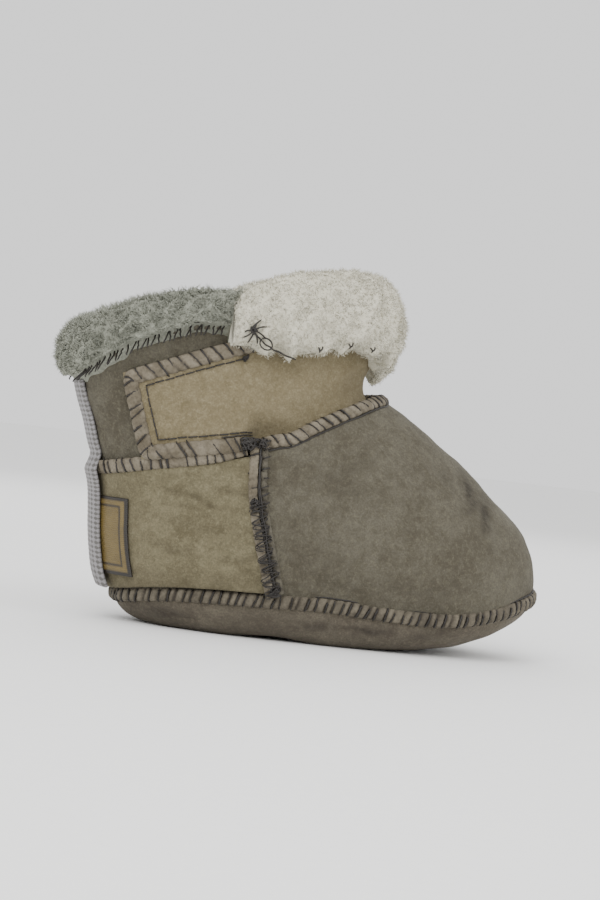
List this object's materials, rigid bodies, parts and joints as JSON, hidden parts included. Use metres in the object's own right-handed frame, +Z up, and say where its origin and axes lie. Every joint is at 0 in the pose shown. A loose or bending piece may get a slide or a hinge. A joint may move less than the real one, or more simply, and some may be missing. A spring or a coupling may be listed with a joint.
{
  "type": "baby slipper",
  "caption": "Soft sheepskin baby bootie with a turned-up suede sole, rounded vamp, heel panel, strap wings round the ankle, fluffy collar and folded wool cuff.",
  "frame": {"origin": "on the floor under the middle of the heel", "axes": "+X to the toe, +Y to the side, +Z up; both sides of Y = 0 are alike"},
  "size_m": [0.1515, 0.0656, 0.1081],
  "materials": {
    "sole_suede": "worn dark taupe suede, matt",
    "footbed_wool": "short cream wool pile",
    "taupe_suede": "taupe suede, matt, mottled",
    "pale_suede": "pale cream suede, matt, creased",
    "label_weave": "woven gold satin with a dark border",
    "tape_weave": "grey woven tape with a small dotted pattern",
    "cream_suede": "yellowed cream suede, matt",
    "grey_wool": "grey-green wool pile in clumped locks",
    "cream_wool": "dense cream wool pile"
  },
  "bodies": {
    "root": {"sole": "sole_suede", "insole": "footbed_wool", "upper": "taupe_suede", "heel_panel": "pale_suede", "label": "label_weave", "heel_tape": "tape_weave", "tongue": "cream_suede", "collar_wool": "grey_wool", "cuff_wool": "cream_wool"}
  },
  "joints": []
}
